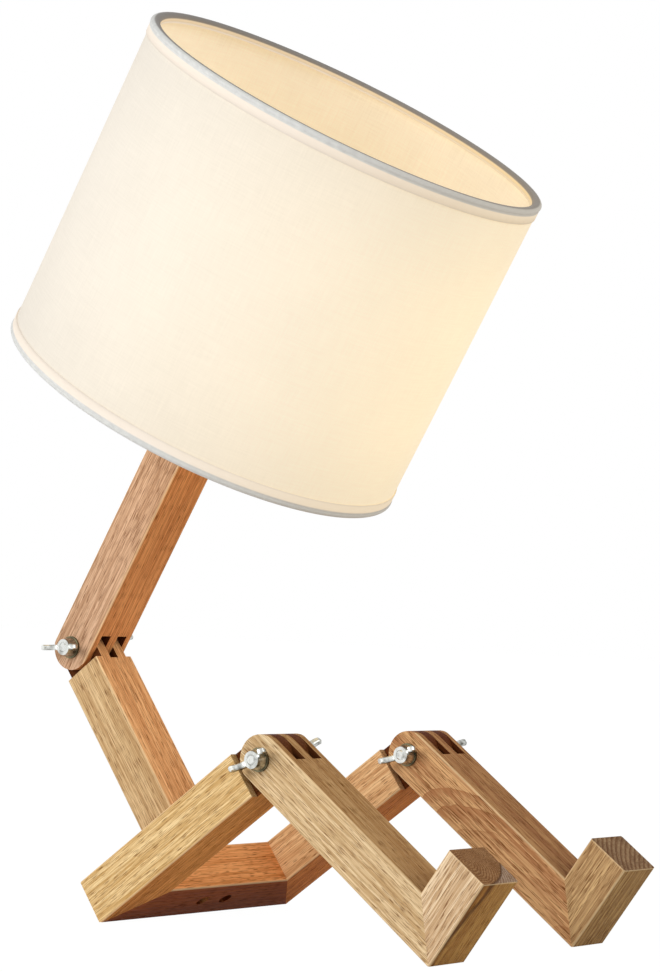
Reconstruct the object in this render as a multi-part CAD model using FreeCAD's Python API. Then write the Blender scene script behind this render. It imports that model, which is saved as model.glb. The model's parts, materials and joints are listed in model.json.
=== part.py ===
# Desk lamp whose stand is a seated figure of jointed wooden bars and whose head is a drum shade.
# Units are millimetres. X runs across the lamp, the front is -Y and Z is up.
# The origin is on the table, at the middle of the lamp's overall box.
# The wing nuts are on the -X side of every joint, and the wing bolts' heads on the +X side.

import FreeCAD, Part
import math
import os

Vector = FreeCAD.Vector
Rotation = FreeCAD.Rotation
Placement = FreeCAD.Placement

# Timber
bar_breadth = 28.0          # of each limb's bar along X, and of the pelvis's bar along the thighs
bar_depth = 24.0            # of every bar, square to its breadth
arris_radius = 1.0          # easing of the bars' long edges
standing_land = 0.7         # how much is planed off the edges that the lamp stands on
hip_width = 148.0           # across the outer faces of the two thighs
thigh_length = 129.5        # from the pelvis's rear face to the knee axis
thigh_slope = 36.7          # degrees, of the thighs above the table
torso_length = 132.0        # from the pelvis's top face to the waist axis
shin_length = 133.5         # from the knee axis to the heel
foot_length = 49.0          # from the sole side of the shin to the toe end
arm_length = 126.0          # from the waist axis to the end that carries the lampholder
arm_lean = 30.0             # degrees, forwards from upright

# Comb joints: three fingers on the moving bar, two on the fixed one
outer_finger = 4.2          # thickness of each outer finger of the moving bar
middle_finger = 5.6         # thickness of its middle finger
finger_clearance = 0.2      # between the sides of neighbouring fingers
shoulder_gap = 1.8          # between a rounded finger end and the shoulder behind it
slot_relief = 2.5           # between a rounded finger end and the bottom of its slot

# Joint hardware
bolt_radius = 2.5
bolt_bore_clearance = 0.1   # radial, in the wood and the washers
thread_clearance = 0.05     # radial, in the wing nuts
washer_radius = 5.8
washer_thickness = 1.0
seat_clearance = 0.2        # between the wood, the washer and the wing nut
hub_base_radius = 5.2
hub_top_radius = 4.2
hub_height = 5.2
bolt_end_reach = 0.6        # of the bolt's domed end past the nut
wing_reach = 11.6           # from the bolt's axis to a wing's tip
wing_rise = 10.8            # from the nut's seat to a wing's tip
wing_tip_radius = 2.6
wing_toe_height = 0.8       # of a wing's lower edge where it leaves the hub
wing_heel_height = 4.8      # of a wing's upper edge where it leaves the hub
wing_thickness = 2.8
wing_arris = 0.5            # chamfer on the wings' edges
wing_root_depth = 1.3       # how far a wing is set into its hub
wing_belly = 1.1            # how far a wing's long edges bow
left_nut_turn = 64.0        # degrees, of the wings from the shin's length
right_nut_turn = 57.0
waist_nut_turn = 56.0
left_head_turn = 86.0
right_head_turn = 107.0
waist_head_turn = 20.0

# Screws that hold the torso on the pelvis
screw_spacing = 18.0
screw_radius = 1.75
screw_length = 48.0
screw_point = 5.0
pilot_relief = 2.4          # of the pilot holes past the screws' points
screw_head_radius = 3.3
screw_head_height = 2.4
counterbore_radius = 3.6
counterbore_depth = 7.0

# Shade
shade_height = 176.0        # over both trims
shade_radius = 108.2        # of the fabric's outer face
shade_bottom = 144.5        # from the waist axis to the shade's lower edge
fabric_thickness = 1.0
trim_thickness = 0.6
trim_outer_depth = 8.0      # of the tape's leg outside the fabric
trim_inner_depth = 4.6
hoop_radius = 1.5           # of the wire in both rims
hoop_sides = 4              # flats that stand for the wire's round section
spoke_count = 3
spoke_radius = 1.5
spoke_notch_clearance = 0.3 # radial, in the trim
fitter_rise = 10.5          # from the shade's lower edge to the fitter's collar
fitter_thickness = 2.0
fitter_width = 8.0

# Lampholder
holder_radius = 19.5
holder_wall = 2.5
cap_height = 22.0
cap_taper = 12.0            # height of the cap's tapered foot
cap_foot_radius = 11.8
shell_height = 33.0
shell_flange_reach = 3.5
shell_flange_thickness = 3.0
fitter_clearance = 0.5      # radial, between the shell and the fitter's collar
ring_height = 6.5
ring_lip_thickness = 2.0
ring_lip_reach = 6.0        # of the ring's lip past the shell
ring_hub_reach = 3.5
nipple_radius = 5.0
nipple_bore_radius = 3.6
nipple_depth = 22.0         # in the arm's end
nipple_stand = 7.5          # above the arm's end
locknut_thickness = 3.0
locknut_across_flats = 14.0
inlet_radius = 4.0          # of the hole for the lead
inlet_boss_radius = 6.5
inlet_boss_reach = 24.0     # from the holder's axis to the boss's face
inlet_height = 8.0          # from the arm's end to the hole's axis
insert_thickness = 12.0
insert_stand = 6.0          # of the insert's top above the cap's rim
insert_radius = 16.6
contact_radius = 4.0
contact_thickness = 1.4
screw_shell_radius = 14.2
screw_shell_wall = 0.5
screw_shell_height = 22.0
screw_shell_flange_radius = 15.8

# Bulb
bulb_seat_gap = 0.3         # between the bulb's tip and the holder's contact
bulb_cap_radius = 13.3
bulb_cap_height = 24.0
bulb_tip_radius = 5.0
bulb_tip_height = 3.0
bulb_insulator_taper = 3.0
bulb_neck_radius = 12.6
bulb_globe_radius = 30.0
bulb_glass_height = 79.0    # from the neck's end to the crown
bulb_neck_length = 12.0     # of the neck inside and above the cap
bulb_wall = 0.9
bulb_globe_steps = 5        # rings that stand for the globe's curve

# Values that follow from the sizes above
half_breadth = bar_breadth / 2
half_depth = bar_depth / 2
comb_cuts = [-half_breadth, outer_finger - half_breadth, -middle_finger / 2,
             middle_finger / 2, half_breadth - outer_finger, half_breadth]
comb_layers = len(comb_cuts) - 1
slot_depth = half_depth + slot_relief
shoulder_depth = half_depth + shoulder_gap
bolt_bore = bolt_radius + bolt_bore_clearance
slope = math.radians(thigh_slope)
lean = math.radians(arm_lean)
knee_height = thigh_length * math.sin(slope) + half_depth * math.cos(slope)
shin_reach = math.hypot(shin_length, half_depth)
shin_slope = math.asin(knee_height / shin_reach) - math.atan2(half_depth, shin_length)
leg_offset = hip_width / 2 - half_breadth
torso_rise = bar_depth + torso_length
trim_radius = shade_radius + trim_thickness
fabric_inner_radius = shade_radius - fabric_thickness
hoop_path_radius = fabric_inner_radius - hoop_radius

# Overall depth, which places the origin. Each value is measured forwards from the pelvis's lowest edge.
knee_forward = thigh_length * math.cos(slope) - half_depth * math.sin(slope)
waist_forward = half_breadth * math.cos(slope) - torso_rise * math.sin(slope)
toe_forward = (knee_forward + shin_length * math.cos(shin_slope)
               + (foot_length - half_depth) * math.sin(shin_slope))
shade_back = waist_forward + shade_bottom * math.sin(lean) - trim_radius * math.cos(lean)
front_offset = -(toe_forward + shade_back) / 2


def turned(angle):
    """Rotation about X by an angle in degrees: a bar along +Z then leans forwards by it."""
    return Rotation(Vector(1, 0, 0), angle)


def point_in_seat(across, along, up):
    """Point given across, along the thighs and square to them, from the pelvis's lowest edge."""
    forward = along * math.cos(slope) - up * math.sin(slope)
    height = along * math.sin(slope) + up * math.cos(slope)
    return Vector(across, -forward - front_offset, height - standing_land)


seat_place = Placement(point_in_seat(0, 0, 0), turned(90 - thigh_slope))
waist_point = point_in_seat(0, half_breadth, torso_rise)
arm_place = Placement(waist_point, turned(arm_lean))
torso_place = Placement(waist_point, turned(180 - thigh_slope))


def knee_point(side):
    """Middle of a knee, on the side given as -1 or 1."""
    return point_in_seat(side * leg_offset, thigh_length, half_depth)


def thigh_place(side):
    """Placement of a thigh, whose bar runs from the knee along +Z."""
    return Placement(knee_point(side), turned(270 - thigh_slope))


def shin_place(side):
    """Placement of a shin, whose bar runs from the knee along +Z."""
    return Placement(knee_point(side), turned(90 + math.degrees(shin_slope)))


def box(x0, x1, y0, y1, z0, z1):
    """Box between two corners."""
    return Part.makeBox(x1 - x0, y1 - y0, z1 - z0, Vector(x0, y0, z0))


def cylinder_x(radius, x0, x1):
    """Round bar along X between two places."""
    return Part.makeCylinder(radius, x1 - x0, Vector(x0, 0, 0), Vector(1, 0, 0))


def tube(outer, inner, z0, z1):
    """Tube on the Z axis."""
    body = Part.makeCylinder(outer, z1 - z0, Vector(0, 0, z0))
    return body.cut(Part.makeCylinder(inner, z1 - z0, Vector(0, 0, z0)))


def polygon(points):
    """Face of a closed outline of straight edges."""
    return Part.Face(Part.makePolygon(list(points) + [points[0]]))


def turned_profile(points):
    """Solid of revolution about Z, from radius and height pairs joined by straight edges."""
    return polygon([Vector(r, 0, z) for r, z in points]).revolve(Vector(0, 0, 0), Vector(0, 0, 1), 360)


def bar(length):
    """Bar with eased long edges, on the Z axis and standing on Z = 0, with its breadth along X."""
    blank = box(-half_breadth, half_breadth, -half_depth, half_depth, 0, length)
    long_edges = [edge for edge in blank.Edges if edge.BoundBox.ZLength > length / 2]
    return blank.makeFillet(arris_radius, long_edges)


def round_end(shape):
    """Round a bar's end about the joint axis, which is the X axis."""
    waste = box(-bar_breadth, bar_breadth, -bar_depth, bar_depth, -bar_depth, 0)
    return shape.cut(waste.cut(cylinder_x(half_depth, -bar_breadth, bar_breadth)))


def comb_slots(layers, depth, extra):
    """Waste between fingers: the numbered layers, cut to a depth past the joint axis."""
    waste = []
    for number in layers:
        low = comb_cuts[number] - (extra if number > 0 else bar_breadth)
        high = comb_cuts[number + 1] + (extra if number < comb_layers - 1 else bar_breadth)
        waste.append(box(low, high, -bar_depth, bar_depth, -bar_depth, depth))
    return waste


def jointed_bar(length):
    """Bar from a rounded, bored end on the X axis to a square end at the given length."""
    blank = bar(length + half_depth)
    blank.translate(Vector(0, 0, -half_depth))
    return round_end(blank).cut(cylinder_x(bolt_bore, -bar_breadth, bar_breadth))


def three_finger_bar(length):
    """Moving bar of a comb joint."""
    inner_layers = range(1, comb_layers, 2)
    return jointed_bar(length).cut(comb_slots(inner_layers, slot_depth, 0))


def two_finger_bar(length):
    """Fixed bar of a comb joint, with square shoulders on its outer faces."""
    outer_layers = (0, comb_layers - 1)
    middle_layers = range(2, comb_layers - 1, 2)
    shape = jointed_bar(length).cut(comb_slots(outer_layers, shoulder_depth, finger_clearance))
    return shape.cut(comb_slots(middle_layers, slot_depth, finger_clearance))


def mitre_waste_x(side, end):
    """Wedge beyond a 45 degree mitre across a bar's breadth, whose long point is on the side given."""
    under = -bar_breadth
    outline = [Vector(side * half_breadth, under, end),
               Vector(-side * half_breadth, under, end - bar_breadth),
               Vector(-side * bar_breadth, under, end - bar_breadth),
               Vector(-side * bar_breadth, under, end + bar_breadth),
               Vector(side * half_breadth, under, end + bar_breadth)]
    return polygon(outline).extrude(Vector(0, 2 * bar_breadth, 0))


def heel_wedge():
    """Wedge on the foot's side of the heel mitre, in the shin's own place."""
    heel = Vector(-bar_breadth, -half_depth, shin_length)
    instep = Vector(-bar_breadth, half_depth, shin_length - bar_depth)
    toe = Vector(-bar_breadth, foot_length, shin_length - bar_depth)
    beyond = Vector(-bar_breadth, foot_length, shin_length + bar_depth)
    below = Vector(-bar_breadth, -half_depth, shin_length + bar_depth)
    return polygon([heel, instep, toe, beyond, below]).extrude(Vector(2 * bar_breadth, 0, 0))


def stood(shape):
    """Plane off what reaches below the table."""
    reach = hip_width + shin_length + thigh_length
    return shape.cut(box(-reach, reach, -reach, reach, -bar_depth, 0))


def placed(shape, place):
    """Copy of a shape moved from its own place to where it belongs on the lamp."""
    moved = shape.copy()
    moved.Placement = place.multiply(moved.Placement)
    return moved


def screw_places():
    """Middles of the two screw holes on the pelvis's underside, in the seat's own place."""
    return [Vector(side * screw_spacing / 2, 0, half_breadth) for side in (-1, 1)]


def pelvis():
    """Bar between the thighs, mitred at both ends and bored for the torso's screws."""
    shape = bar(hip_width)
    left_end = Vector(-hip_width / 2, half_depth, half_breadth)
    shape.Placement = Placement(left_end, Rotation(Vector(0, 1, 0), 90))
    for side in (-1, 1):
        corner = Vector(side * hip_width / 2, -bar_breadth, 0)
        inner = Vector(side * (hip_width / 2 - bar_breadth), -bar_breadth, bar_breadth)
        above = Vector(side * (hip_width / 2 - bar_breadth), -bar_breadth, 2 * bar_breadth)
        beyond = Vector(side * hip_width, -bar_breadth, 2 * bar_breadth)
        level = Vector(side * hip_width, -bar_breadth, 0)
        outline = polygon([corner, inner, above, beyond, level])
        shape = shape.cut(outline.extrude(Vector(0, 3 * bar_breadth, 0)))
    for middle in screw_places():
        up = Vector(0, 1, 0)
        shape = shape.cut(Part.makeCylinder(screw_radius, bar_depth, middle, up))
        shape = shape.cut(Part.makeCylinder(counterbore_radius, counterbore_depth, middle, up))
        sunk = middle + up * counterbore_depth
        shape = shape.cut(Part.makeCone(screw_head_radius, screw_radius, screw_head_height, sunk, up))
    return stood(placed(shape, seat_place))


def thigh(side):
    """Bar from the pelvis's mitre to the knee."""
    shape = two_finger_bar(thigh_length).cut(mitre_waste_x(side, thigh_length))
    return stood(placed(shape, thigh_place(side)))


def torso():
    """Upright bar on the pelvis, with pilot holes for its screws."""
    shape = two_finger_bar(torso_length)
    grip = screw_length - (bar_depth - counterbore_depth) + pilot_relief
    for middle in screw_places():
        pilot = Part.makeCylinder(screw_radius, grip, Vector(middle.x, 0, torso_length - grip))
        shape = shape.cut(pilot)
    return placed(shape, torso_place)


def torso_screws():
    """Two wood screws, driven up through the pelvis."""
    shank = screw_length - screw_point
    outline = [(0, 0), (screw_head_radius, 0), (screw_radius, screw_head_height), (screw_radius, shank),
               (0, screw_length)]
    screws = []
    for middle in screw_places():
        screw = turned_profile(outline)
        head = middle + Vector(0, counterbore_depth, 0)
        screw.Placement = Placement(head, turned(-90))
        screws.append(screw)
    return placed(Part.makeCompound(screws), seat_place)


def shin(side):
    """Bar from the knee to the heel's mitre."""
    shape = three_finger_bar(shin_length).cut(heel_wedge())
    return stood(placed(shape, shin_place(side)))


def foot(side):
    """Short bar that turns up from the heel's mitre."""
    shape = bar(foot_length)
    shape.Placement = Placement(Vector(0, -half_depth, shin_length - half_depth), turned(-90))
    return stood(placed(shape.common(heel_wedge()), shin_place(side)))


def upper_arm():
    """Bar from the waist to the lampholder, bored at its end for the threaded nipple."""
    bore = Part.makeCylinder(nipple_radius, nipple_depth, Vector(0, 0, arm_length - nipple_depth))
    return placed(three_finger_bar(arm_length).cut(bore), arm_place)


def bowed(start, end, bow):
    """Arc between two points in the XZ plane, bowed to the right of its way by a distance."""
    along = end - start
    square = Vector(along.z, 0, -along.x).normalize()
    middle = (start + end) * 0.5 + square * bow
    return Part.Arc(start, middle, end).toShape()


def wing():
    """One wing in the XZ plane, with its seat at Z = 0 and the bolt's axis at X = 0."""
    root = hub_top_radius - wing_root_depth
    foot_in = Vector(root, 0, wing_toe_height)
    foot_out = Vector(hub_base_radius, 0, wing_toe_height)
    tip_low = Vector(wing_reach, 0, wing_rise - wing_tip_radius)
    tip_high = Vector(wing_reach - wing_tip_radius, 0, wing_rise)
    heel = Vector(root, 0, wing_heel_height)
    round_off = wing_tip_radius * (1 - math.sqrt(0.5))
    tip = Vector(wing_reach - round_off, 0, wing_rise - round_off)
    edges = [Part.makeLine(foot_in, foot_out), bowed(foot_out, tip_low, wing_belly),
             Part.Arc(tip_low, tip, tip_high).toShape(), bowed(tip_high, heel, -wing_belly),
             Part.makeLine(heel, foot_in)]
    plate = Part.Face(Part.Wire(edges)).extrude(Vector(0, wing_thickness, 0))
    plate.translate(Vector(0, -wing_thickness / 2, 0))
    return plate.makeChamfer(wing_arris, plate.Edges)


def winged_hub():
    """Tapered hub with two wings, seated at Z = 0 on the Z axis."""
    hub = Part.makeCone(hub_base_radius, hub_top_radius, hub_height)
    second = wing()
    second.rotate(Vector(0, 0, 0), Vector(0, 0, 1), 180)
    return hub.fuse([wing(), second])


nut_seat = half_breadth + washer_thickness + 2 * seat_clearance
head_seat = half_breadth + washer_thickness + seat_clearance


def wing_nut(turn):
    """Wing nut on the -X side of a joint at the origin."""
    bore = Part.makeCylinder(bolt_radius + thread_clearance, wing_rise)
    nut = winged_hub().cut(bore).removeSplitter()
    nut.rotate(Vector(0, 0, 0), Vector(0, 0, 1), turn)
    return placed(nut, Placement(Vector(-nut_seat, 0, 0), Rotation(Vector(0, 1, 0), -90)))


def wing_bolt(turn):
    """Wing bolt through a joint at the origin, with its head on the +X side and a domed end."""
    head = winged_hub()
    head.rotate(Vector(0, 0, 0), Vector(0, 0, 1), turn)
    head = placed(head, Placement(Vector(head_seat, 0, 0), Rotation(Vector(0, 1, 0), 90)))
    end = nut_seat + hub_height + bolt_end_reach
    shank = cylinder_x(bolt_radius, bolt_end_reach - end, head_seat)
    dome = Part.makeCone(bolt_radius, bolt_radius - bolt_end_reach, bolt_end_reach,
                         Vector(bolt_end_reach - end, 0, 0), Vector(-1, 0, 0))
    return head.fuse([shank, dome]).removeSplitter()


def washers():
    """Washer on each side of a joint at the origin."""
    pair = []
    for low in (seat_clearance - nut_seat, half_breadth + seat_clearance):
        disc = cylinder_x(washer_radius, low, low + washer_thickness)
        pair.append(disc.cut(cylinder_x(bolt_bore, low, low + washer_thickness)))
    return Part.makeCompound(pair)


def knee_hardware(side, nut_turn, head_turn):
    """Bolt, washers and nut of one knee, named by their pieces."""
    place = shin_place(side)
    return {"wing_bolt": placed(wing_bolt(head_turn), place), "washers": placed(washers(), place),
            "wing_nut": placed(wing_nut(nut_turn), place)}


def lampholder():
    """Pieces of the lampholder, from the arm's end upwards along the Z axis."""
    foot_z = arm_length
    cap_top = foot_z + cap_height
    inner = holder_radius - holder_wall
    taper_offset = holder_wall / 2
    cap = turned_profile([
        (nipple_radius, foot_z), (cap_foot_radius, foot_z), (holder_radius, foot_z + cap_taper),
        (holder_radius, cap_top), (inner, cap_top), (inner, foot_z + cap_taper + taper_offset),
        (cap_foot_radius - taper_offset, foot_z + holder_wall), (nipple_radius, foot_z + holder_wall)])
    inlet_z = foot_z + inlet_height
    boss = Part.makeCylinder(inlet_boss_radius, inlet_boss_reach, Vector(0, 0, inlet_z), Vector(0, 1, 0))
    hollow = turned_profile([
        (0, foot_z + holder_wall), (cap_foot_radius - taper_offset, foot_z + holder_wall),
        (inner, foot_z + cap_taper + taper_offset), (inner, cap_top), (0, cap_top)])
    below = box(-holder_radius, holder_radius, -holder_radius, inlet_boss_reach, 0, foot_z)
    inlet = Part.makeCylinder(inlet_radius, inlet_boss_reach, Vector(0, 0, inlet_z), Vector(0, 1, 0))
    entry = Part.makeCylinder(nipple_radius, cap_height, Vector(0, 0, foot_z))
    cap = cap.fuse(boss.cut([hollow, below])).cut([inlet, entry])

    flange_low = shade_bottom + fitter_rise - shell_flange_thickness
    flange_high = shade_bottom + fitter_rise
    flange = holder_radius + shell_flange_reach
    shell_top = cap_top + shell_height
    shell = turned_profile([
        (inner, cap_top), (holder_radius, cap_top), (holder_radius, flange_low), (flange, flange_low),
        (flange, flange_high), (holder_radius, flange_high), (holder_radius, shell_top), (inner, shell_top)])

    ring_low = flange_high + fitter_thickness
    ring_high = ring_low + ring_height
    ring_bore = holder_radius + thread_clearance
    lip = holder_radius + ring_lip_reach
    hub = holder_radius + ring_hub_reach
    ring = turned_profile([
        (ring_bore, ring_low), (lip, ring_low), (lip, ring_low + ring_lip_thickness),
        (hub, ring_low + ring_lip_thickness), (hub, ring_high), (ring_bore, ring_high)])

    nipple = tube(nipple_radius, nipple_bore_radius, foot_z - nipple_depth, foot_z + nipple_stand)
    nut_low = foot_z + holder_wall
    corner = locknut_across_flats / 2 / math.cos(math.pi / 6)
    hexagon = [Vector(corner * math.cos(k * math.pi / 3), corner * math.sin(k * math.pi / 3), nut_low)
               for k in range(6)]
    locknut = polygon(hexagon).extrude(Vector(0, 0, locknut_thickness))
    locknut = locknut.cut(Part.makeCylinder(nipple_radius, locknut_thickness, Vector(0, 0, nut_low)))

    insert_top = cap_top + insert_stand
    insert = Part.makeCylinder(insert_radius, insert_thickness, Vector(0, 0, insert_top - insert_thickness))
    contact = Part.makeCylinder(contact_radius, contact_thickness, Vector(0, 0, insert_top))
    shell_inner = screw_shell_radius - screw_shell_wall
    liner = turned_profile([
        (shell_inner, insert_top), (screw_shell_flange_radius, insert_top),
        (screw_shell_flange_radius, insert_top + screw_shell_wall),
        (screw_shell_radius, insert_top + screw_shell_wall),
        (screw_shell_radius, insert_top + screw_shell_height),
        (shell_inner, insert_top + screw_shell_height)])
    pieces = {"mounting_nipple": nipple, "nipple_locknut": locknut, "lampholder_cap": cap,
              "lampholder_shell": shell, "shade_ring": ring, "lampholder_insert": insert,
              "centre_contact": contact, "screw_shell": liner}
    return pieces, insert_top + contact_thickness


def bulb(tip_z):
    """Glass and metal cap of the bulb, from its tip upwards."""
    low = tip_z + bulb_seat_gap
    cap_low = low + bulb_tip_height + bulb_insulator_taper
    cap_high = low + bulb_cap_height
    seat = cap_high - bulb_neck_length / 2
    cap = turned_profile([
        (0, low), (bulb_tip_radius, low), (bulb_tip_radius, low + bulb_tip_height),
        (bulb_cap_radius, cap_low), (bulb_cap_radius, cap_high), (bulb_neck_radius, cap_high),
        (bulb_neck_radius, seat), (0, seat)])
    crown = seat + bulb_glass_height
    middle = crown - bulb_globe_radius
    neck_end = seat + bulb_neck_length

    def outline(neck, globe):
        """Points from the neck's lower end, along its taper and round the globe to the crown."""
        drop = middle - neck_end
        low_angle = math.atan2(drop, neck) - math.acos(globe / math.hypot(neck, drop))
        points = [(neck, seat), (neck, neck_end)]
        for step in range(bulb_globe_steps):
            angle = -low_angle + (math.pi / 2 + low_angle) * step / bulb_globe_steps
            points.append((globe * math.cos(angle), middle + globe * math.sin(angle)))
        return points + [(0, middle + globe)]

    outer = outline(bulb_neck_radius, bulb_globe_radius)
    inner = outline(bulb_neck_radius - bulb_wall, bulb_globe_radius - bulb_wall)
    glass = turned_profile(outer + inner[::-1])
    return {"bulb_cap": cap, "bulb_glass": glass}


def rim_trim(edge, inward):
    """Tape folded over a rim of the shade. Inward is the way from the edge into the shade, 1 or -1."""
    inner = fabric_inner_radius - 2 * hoop_radius
    under = edge + inward * trim_thickness
    outer_end = edge + inward * trim_outer_depth
    inner_end = edge + inward * trim_inner_depth
    outline = [(trim_radius, outer_end), (shade_radius, outer_end), (shade_radius, under), (inner, under),
               (inner, inner_end), (inner - trim_thickness, inner_end), (inner - trim_thickness, edge),
               (trim_radius, edge)]
    return turned_profile(outline)


def hoop(height):
    """Wire hoop inside a rim of the shade, its middle at a height."""
    section = []
    for number in range(hoop_sides):
        angle = 2 * math.pi * (number + 0.5) / hoop_sides
        radius = hoop_path_radius + hoop_radius * math.cos(angle)
        section.append((radius, height + hoop_radius * math.sin(angle)))
    return turned_profile(section)


def spokes(radius):
    """Round bars from the fitter's collar to the lower hoop."""
    start_radius = holder_radius + fitter_clearance + fitter_width - spoke_radius / 2
    start_height = shade_bottom + fitter_rise + fitter_thickness / 2
    end_height = shade_bottom + trim_thickness + hoop_radius
    bars = []
    for number in range(spoke_count):
        angle = 2 * math.pi * number / spoke_count + math.pi / 2
        way = Vector(math.cos(angle), math.sin(angle), 0)
        start = way * start_radius + Vector(0, 0, start_height)
        end = way * hoop_path_radius + Vector(0, 0, end_height)
        bars.append(Part.makeCylinder(radius, (end - start).Length, start, end - start))
    return bars


def shade():
    """Fabric drum, its two trims and hoops, and the fitter that sits on the lampholder."""
    top = shade_bottom + shade_height
    fabric = tube(shade_radius, fabric_inner_radius, shade_bottom + trim_thickness, top - trim_thickness)
    lower_hoop = hoop(shade_bottom + trim_thickness + hoop_radius)
    collar_inner = holder_radius + fitter_clearance
    collar_low = shade_bottom + fitter_rise
    collar = tube(collar_inner + fitter_width, collar_inner, collar_low, collar_low + fitter_thickness)
    notched_trim = rim_trim(shade_bottom, 1).cut(spokes(spoke_radius + spoke_notch_clearance))
    fitter = collar.fuse(spokes(spoke_radius)).cut(lower_hoop)
    return {"shade_fabric": fabric, "shade_top_hoop": hoop(top - trim_thickness - hoop_radius),
            "shade_bottom_hoop": lower_hoop, "shade_fitter": fitter,
            "shade_top_trim": rim_trim(top, -1), "shade_bottom_trim": notched_trim}


def lamp():
    """Every piece of the lamp by name."""
    pieces = {"pelvis": pelvis(), "torso": torso(), "torso_screws": torso_screws(), "upper_arm": upper_arm()}
    turns = {"left": (-1, left_nut_turn, left_head_turn), "right": (1, right_nut_turn, right_head_turn)}
    for name, (side, nut_turn, head_turn) in turns.items():
        pieces[name + "_thigh"] = thigh(side)
        pieces[name + "_shin"] = shin(side)
        pieces[name + "_foot"] = foot(side)
        for piece, shape in knee_hardware(side, nut_turn, head_turn).items():
            pieces[name + "_knee_" + piece] = shape
    pieces["waist_wing_bolt"] = placed(wing_bolt(waist_head_turn), arm_place)
    pieces["waist_washers"] = placed(washers(), arm_place)
    pieces["waist_wing_nut"] = placed(wing_nut(-waist_nut_turn), arm_place)
    head, contact_top = lampholder()
    head.update(bulb(contact_top))
    head.update(shade())
    for name, shape in head.items():
        pieces[name] = placed(shape, arm_place)
    return pieces


os.makedirs("parts", exist_ok=True)
for name, shape in lamp().items():
    if not shape.isValid():
        print("not valid:", name)
    shape.exportStep("parts/" + name + ".step")
print("knee", knee_point(-1), knee_point(1))
print("waist", waist_point)
print("shin slope", math.degrees(shin_slope))
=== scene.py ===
"""Looks of a desk lamp whose stand is a seated figure of oak bars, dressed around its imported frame.

Lengths are written in millimetres where a name or comment says so, and in metres elsewhere.
The front of the lamp is -Y, and the wing nuts are on the -X side of every joint.
"""

import json
import logging
import math
from dataclasses import dataclass
from enum import Enum

import bpy
from mathutils import Matrix, Vector


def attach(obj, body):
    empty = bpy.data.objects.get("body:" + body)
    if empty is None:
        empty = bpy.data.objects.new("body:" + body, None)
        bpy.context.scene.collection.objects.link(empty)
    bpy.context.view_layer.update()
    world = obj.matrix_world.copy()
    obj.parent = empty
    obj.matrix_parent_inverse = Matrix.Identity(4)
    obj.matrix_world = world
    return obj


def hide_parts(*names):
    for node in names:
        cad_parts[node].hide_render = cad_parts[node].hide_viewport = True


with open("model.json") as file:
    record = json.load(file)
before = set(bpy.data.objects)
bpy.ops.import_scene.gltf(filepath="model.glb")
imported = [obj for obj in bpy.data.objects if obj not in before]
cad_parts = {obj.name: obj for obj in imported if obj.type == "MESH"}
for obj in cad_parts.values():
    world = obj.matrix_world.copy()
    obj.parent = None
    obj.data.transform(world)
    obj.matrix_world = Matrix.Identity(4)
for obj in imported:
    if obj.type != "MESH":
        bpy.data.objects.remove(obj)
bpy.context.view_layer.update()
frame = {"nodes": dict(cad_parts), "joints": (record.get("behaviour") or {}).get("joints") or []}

log = logging.getLogger("lamp")
logging.basicConfig(level=logging.INFO, format="%(message)s")

MM = 0.001

# Driving sizes of the stand, as on the frame. Lengths in millimetres, angles in degrees.
BAR_BREADTH = 28.0
BAR_DEPTH = 24.0
OUTER_FINGER = 4.2
THIGH_SLOPE = 36.7
TORSO_LENGTH = 132.0
ARM_LEAN = 30.0
SHIN_LENGTH = 133.5
FOOT_LENGTH = 49.0
STANDING_LAND = 0.7

# Way across the shade, in the head's space, to the side where the painted glow of the cloth and tapes
# is strongest.
BRIGHT_WAY = (0.62, -0.78, 0.0)

# Settings of a Mix node that multiplies its colours.
MULTIPLIED = {"data_type": "RGBA", "blend_type": "MULTIPLY"}

Tree = bpy.types.NodeTree
Node = bpy.types.Node
Socket = bpy.types.NodeSocket
Colour = tuple[float, float, float, float]
Value = Node | Socket | Vector | tuple | float | str | None
Pairs = list[tuple[float, float]]
Faces = list[tuple[int, ...]]


def linear(code: str) -> Colour:
    """Turn an sRGB hex colour into linear values.

    Args:
        code: Six hex digits after a hash sign.

    Returns:
        Linear red, green and blue, and an alpha of 1.
    """
    values = [int(code[place:place + 2], 16) / 255 for place in (1, 3, 5)]
    red, green, blue = (v / 12.92 if v <= 0.04045 else ((v + 0.055) / 1.055) ** 2.4 for v in values)
    return (red, green, blue, 1.0)


def add_node(tree: Tree, kind: str, *values: Value, named: dict[str, Value] | None = None,
             **settings) -> Node:
    """Add a shader node with its settings, values and links.

    Args:
        tree: Node tree that gets the node.
        kind: Node type without its ShaderNode prefix.
        *values: Values of its live inputs, in order. A socket, or a node's first live output, is
            linked, a hex colour is turned to linear, and None leaves an input as it is.
        named: More values, by the name of the input.
        **settings: Properties of the node.

    Returns:
        The new node.
    """
    node = tree.nodes.new("ShaderNode" + kind)
    for name, value in settings.items():
        setattr(node, name, value)
    pairs = list(zip([socket for socket in node.inputs if socket.enabled], values))
    pairs += [(node.inputs[name], value) for name, value in (named or {}).items()]
    for socket, value in pairs:
        if isinstance(value, str):
            value = linear(value)
        if isinstance(value, Node):
            value = next(output for output in value.outputs if output.enabled)
        if isinstance(value, Socket):
            tree.links.new(value, socket)
        elif value is not None:
            socket.default_value = value
    return node


def new_material(name: str) -> tuple[bpy.types.Material, Tree]:
    """Make an empty node material.

    Args:
        name: Name of the real material and process.

    Returns:
        The material and its cleared node tree.
    """
    material = bpy.data.materials.new(name)
    material.use_nodes = True
    material.node_tree.nodes.clear()
    return material, material.node_tree


def dress(piece: bpy.types.Object, *materials: bpy.types.Material) -> None:
    """Give a piece its materials, in slot order.

    Args:
        piece: Mesh object.
        *materials: Materials for its slots.
    """
    for number, material in enumerate(materials):
        if number < len(piece.material_slots):
            piece.material_slots[number].material = material
        else:
            piece.data.materials.append(material)


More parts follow.
